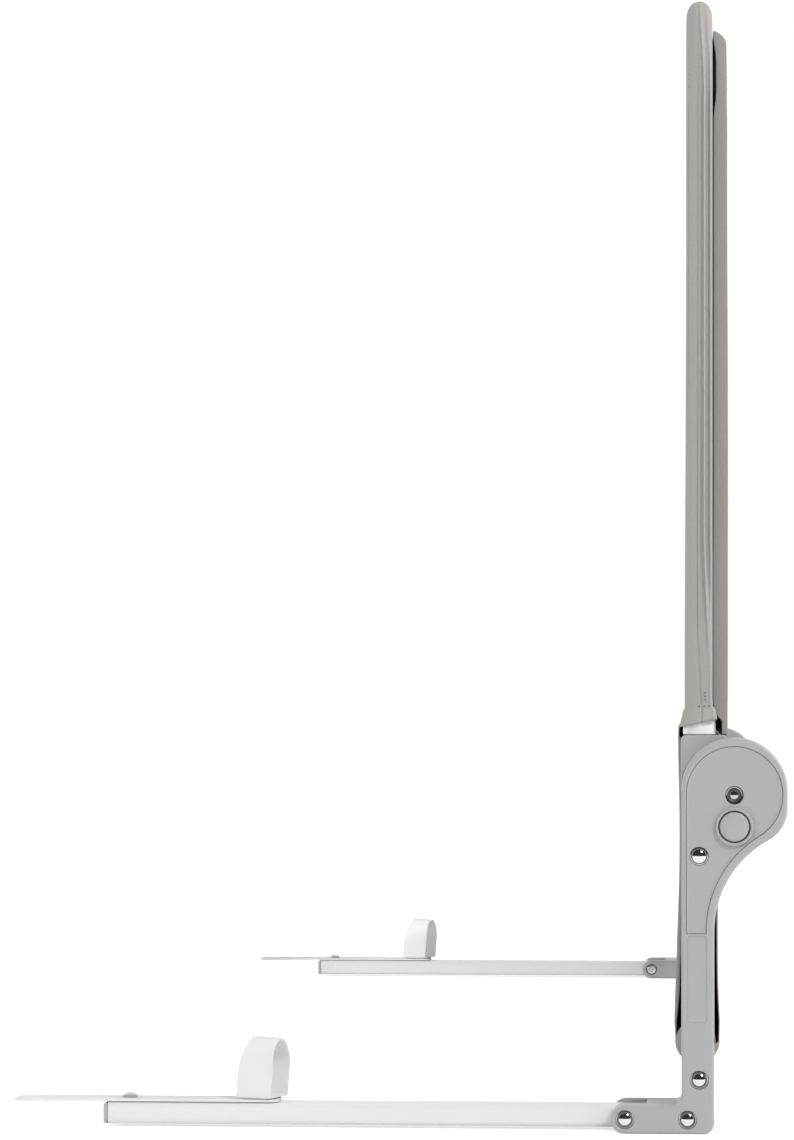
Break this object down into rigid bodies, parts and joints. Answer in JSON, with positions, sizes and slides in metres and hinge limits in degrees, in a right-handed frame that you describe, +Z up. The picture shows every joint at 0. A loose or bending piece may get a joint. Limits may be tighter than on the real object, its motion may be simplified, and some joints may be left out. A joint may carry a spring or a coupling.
{
  "type": "folding bed guard rail",
  "caption": "Folding bed guard rail: a fabric covered tube frame on end brackets, which folds outwards at push-button pivots, with hinged arms that slide under the mattress.",
  "frame": {"origin": "middle of the footprint of the bounding box, on the level that the bracket feet stand on", "axes": "+X from the bed outwards, +Y along the rail, +Z up"},
  "size_m": [0.3658, 1.0024, 0.539],
  "materials": {
    "grey_plastic": "fine satin moulded surface",
    "cap_plastic": "matte moulded plastic",
    "white_paint": "smooth white powder coat",
    "white_webbing": "pale woven webbing",
    "chrome": "bright plated domed head",
    "zinc_steel": "dull zinc plated steel",
    "grey_fabric": "warm grey plain woven polyester"
  },
  "bodies": {
    "root": {"left_outer_shell": "grey_plastic", "left_inner_shell": "grey_plastic", "left_leg_core": "grey_plastic", "left_outer_plate": "zinc_steel", "left_inner_plate": "zinc_steel", "left_upper_bolt": "chrome", "left_upper_screw": "zinc_steel", "left_lower_bolt": "chrome", "left_lower_screw": "zinc_steel", "left_corner_bolt": "chrome", "left_corner_screw": "zinc_steel", "left_arm_pin": "chrome", "left_arm_screw": "zinc_steel", "left_pivot_bolt": "chrome", "left_pivot_screw": "zinc_steel", "left_button_spring": "zinc_steel", "right_outer_shell": "grey_plastic", "right_inner_shell": "grey_plastic", "right_leg_core": "grey_plastic", "right_outer_plate": "zinc_steel", "right_inner_plate": "zinc_steel", "right_upper_bolt": "chrome", "right_upper_screw": "zinc_steel", "right_lower_bolt": "chrome", "right_lower_screw": "zinc_steel", "right_corner_bolt": "chrome", "right_corner_screw": "zinc_steel", "right_arm_pin": "chrome", "right_arm_screw": "zinc_steel", "right_pivot_bolt": "chrome", "right_pivot_screw": "zinc_steel", "right_button_spring": "zinc_steel", "cross_bar": "zinc_steel", "lower_cover": "grey_fabric"},
    "panel": {"left_knuckle": "grey_plastic", "right_knuckle": "grey_plastic", "left_ferrule": "white_paint", "right_ferrule": "white_paint", "left_frame_tube": "white_paint", "right_frame_tube": "white_paint", "frame_spigot": "zinc_steel", "upper_cover": "grey_fabric"},
    "left_arm": {"left_arm_tube": "white_paint", "left_arm_end_cap": "cap_plastic", "left_arm_strip": "white_webbing", "left_strip_rivet": "chrome", "left_strap_loop": "white_webbing"},
    "right_arm": {"right_arm_tube": "white_paint", "right_arm_end_cap": "cap_plastic", "right_arm_strip": "white_webbing", "right_strip_rivet": "chrome", "right_strap_loop": "white_webbing"},
    "left_button": {"left_release_button": "grey_plastic"},
    "right_button": {"right_release_button": "grey_plastic"}
  },
  "joints": [
    {"name": "panel_fold", "type": "hinge", "parent": "root", "child": "panel", "pos_m": [0.15827, 0, 0.1575], "axis": [0, 1, 0], "range_deg": [0, 180]},
    {"name": "left_arm_fold", "type": "hinge", "parent": "root", "child": "left_arm", "pos_m": [0.10743, -0.4785, 0.00665], "axis": [0, 1, 0], "range_deg": [0, 90], "deforming": ["left_strap_loop"]},
    {"name": "right_arm_fold", "type": "hinge", "parent": "root", "child": "right_arm", "pos_m": [0.10743, 0.4785, 0.00665], "axis": [0, 1, 0], "range_deg": [0, 90], "deforming": ["right_strap_loop"]},
    {"name": "left_button_push", "type": "slide", "parent": "root", "child": "left_button", "axis": [0, 1, 0], "range_m": [0, 0.003], "stiffness_N_per_m": 600, "springref_m": -0.002, "deforming": ["left_button_spring"]},
    {"name": "right_button_push", "type": "slide", "parent": "root", "child": "right_button", "axis": [0, -1, 0], "range_m": [0, 0.003], "stiffness_N_per_m": 600, "springref_m": -0.002, "deforming": ["right_button_spring"]}
  ]
}
